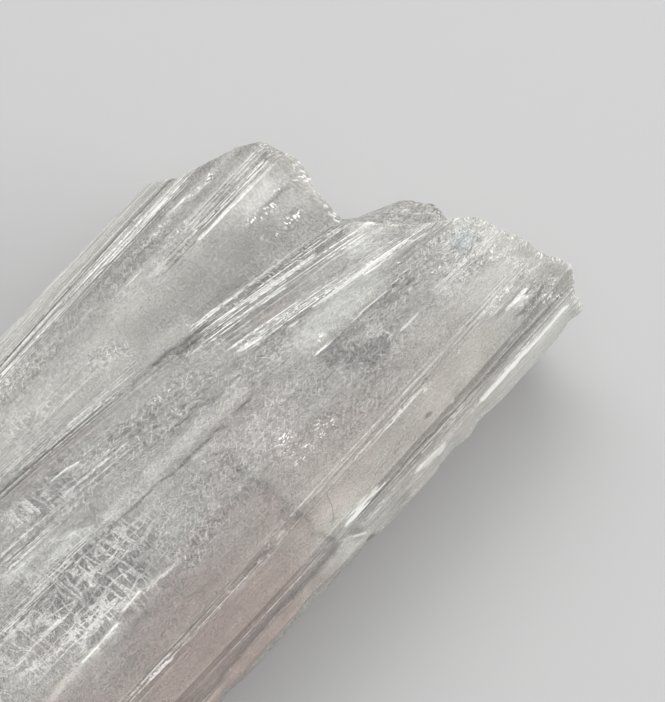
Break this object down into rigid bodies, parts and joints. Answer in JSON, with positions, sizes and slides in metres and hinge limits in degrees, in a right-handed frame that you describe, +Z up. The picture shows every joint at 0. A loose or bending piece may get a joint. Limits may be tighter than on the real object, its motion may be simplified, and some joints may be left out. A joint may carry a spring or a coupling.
{
  "type": "danburite crystal",
  "caption": "Clear to milky flattened mineral crystal, striated along its length, with a broken stepped end, lying on its flat back.",
  "frame": {"origin": "on the resting face, in the middle of the crystal's box", "axes": "+X along the prism towards its stepped termination, +Z up out of the resting face, +Y towards the edge with the pale bevel"},
  "size_m": [0.086, 0.0358, 0.0163],
  "materials": {
    "danburite": "vitreous, striated along the length, with etched and milky zones and fine internal cracks"
  },
  "bodies": {
    "root": {"danburite_crystal": "danburite"}
  },
  "joints": []
}
